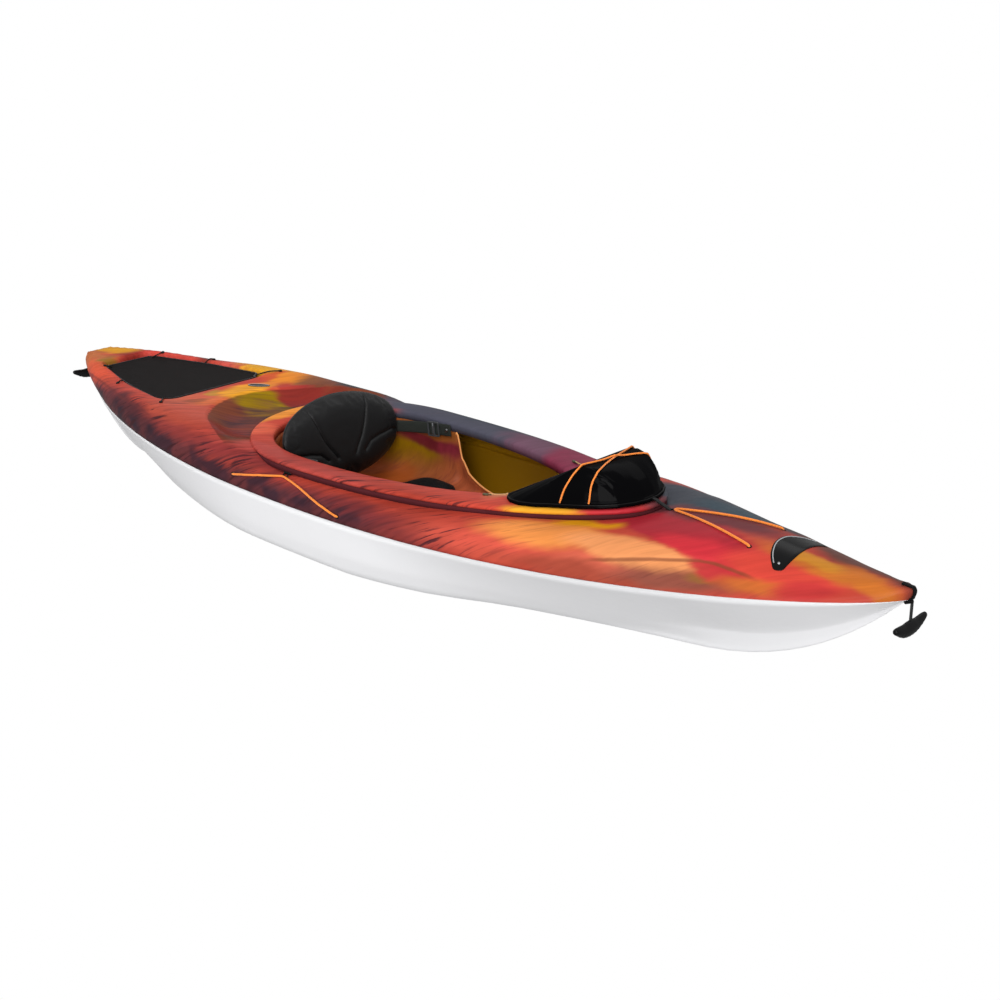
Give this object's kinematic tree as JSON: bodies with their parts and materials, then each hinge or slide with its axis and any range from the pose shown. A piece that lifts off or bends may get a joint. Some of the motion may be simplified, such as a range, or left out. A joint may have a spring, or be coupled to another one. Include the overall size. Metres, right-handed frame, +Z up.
{
  "type": "recreational kayak",
  "caption": "Sit-in recreational kayak with wide cockpit, folding padded backrest, sliding foot braces, mesh-covered rear well and a lift-off bag over the cockpit front.",
  "frame": {"origin": "under the middle of the boat, on the ground plane the keel rests on", "axes": "+X towards the bow, +Y towards port, +Z up"},
  "size_m": [3.068, 0.7148, 0.427],
  "materials": {
    "hull_shell": "moulded sheet plastic, low gloss, near white",
    "deck_shell": "moulded sheet plastic, low gloss, marbled from red and orange to slate",
    "seat_liner_shell": "moulded plastic, matte, same mixed colours as the deck",
    "seat_fabric": "woven padded fabric",
    "black_nylon": "moulded nylon, fine grain",
    "handle_rubber": "matte",
    "bag_shell": "moulded coated fabric, satin",
    "bungee_cord": "braided sleeve",
    "webbing": "woven tape",
    "mesh_fabric": "knitted mesh, matte",
    "foam": "closed-cell foam",
    "steel": "satin"
  },
  "bodies": {
    "boat": {"backrest_hinge_bracket": "black_nylon", "backrest_hinge_pin": "steel", "backrest_strap_port": "webbing", "backrest_strap_starboard": "webbing", "bow_badge_plate": "black_nylon", "bow_badge_rivet": "steel", "bow_bungee": "bungee_cord", "bow_foam_pillar": "foam", "bow_handle_loop": "handle_rubber", "deck_aft": "deck_shell", "deck_fore": "deck_shell", "deck_side_port": "deck_shell", "deck_side_starboard": "deck_shell", "deck_stern": "deck_shell", "deck_well": "deck_shell", "drain_collar": "black_nylon", "footrest_rail_port": "black_nylon", "footrest_rail_starboard": "black_nylon", "hull_main": "hull_shell", "hull_stern_port": "hull_shell", "hull_stern_starboard": "hull_shell", "paddle_bungee": "bungee_cord", "paddle_clip": "black_nylon", "seat_cushion": "seat_fabric", "seat_foam_block": "foam", "seat_liner": "seat_liner_shell", "stern_foam_block": "foam", "stern_handle_knob": "handle_rubber", "stern_handle_stud": "handle_rubber", "stern_oval_plate": "black_nylon", "strap_buckle_port": "steel", "strap_buckle_starboard": "steel", "strap_rivet_port": "steel", "strap_rivet_starboard": "steel", "well_mesh": "mesh_fabric", "well_tie_front_port": "black_nylon", "well_tie_front_starboard": "black_nylon", "well_tie_mid_port": "black_nylon", "well_tie_mid_starboard": "black_nylon", "well_tie_rear_port": "black_nylon", "well_tie_rear_starboard": "black_nylon"},
    "backrest": {"backrest_pad": "seat_fabric", "backrest_panel": "black_nylon"},
    "bow_handle": {"bow_handle_strap": "webbing", "bow_handle_grip": "black_nylon"},
    "stern_handle": {"stern_handle_strap": "webbing", "stern_handle_grip": "black_nylon"},
    "plug": {"drain_plug": "handle_rubber"},
    "pedal_port": {"foot_pedal_port": "black_nylon"},
    "pedal_starboard": {"foot_pedal_starboard": "black_nylon"},
    "bag": {"cockpit_bag": "bag_shell", "bag_cord_a": "bungee_cord", "bag_cord_b": "bungee_cord", "bag_hook_port": "black_nylon", "bag_hook_starboard": "black_nylon", "bag_front_hook": "black_nylon"}
  },
  "joints": [
    {"name": "backrest_fold", "type": "hinge", "parent": "boat", "child": "backrest", "pos_m": [-0.262, 0, 0.1165], "axis": [0, 1, 0], "range_deg": [-7, 60]},
    {"name": "bow_handle_swing", "type": "hinge", "parent": "boat", "child": "bow_handle", "pos_m": [1.523, 0, 0.28], "axis": [0, 1, 0], "range_deg": [-85, 25]},
    {"name": "stern_handle_swing", "type": "hinge", "parent": "boat", "child": "stern_handle", "pos_m": [-1.5215, 0, 0.2325], "axis": [0, 1, 0], "range_deg": [-15, 85]},
    {"name": "drain_plug_turn", "type": "hinge", "parent": "boat", "child": "plug", "pos_m": [-1.39657, 0.08777, 0.26142], "axis": [-0.4888, 0.8502, -0.1955], "continuous": true},
    {"name": "pedal_port_slide", "type": "slide", "parent": "boat", "child": "pedal_port", "axis": [0.9591, -0.2831, 0], "range_m": [-0.15, 0.12]},
    {"name": "pedal_starboard_slide", "type": "slide", "parent": "boat", "child": "pedal_starboard", "axis": [0.9591, 0.2831, 0], "range_m": [-0.15, 0.12]},
    {"name": "bag_lift", "type": "slide", "parent": "boat", "child": "bag", "axis": [0, 0, 1], "range_m": [0, 0.12]}
  ]
}
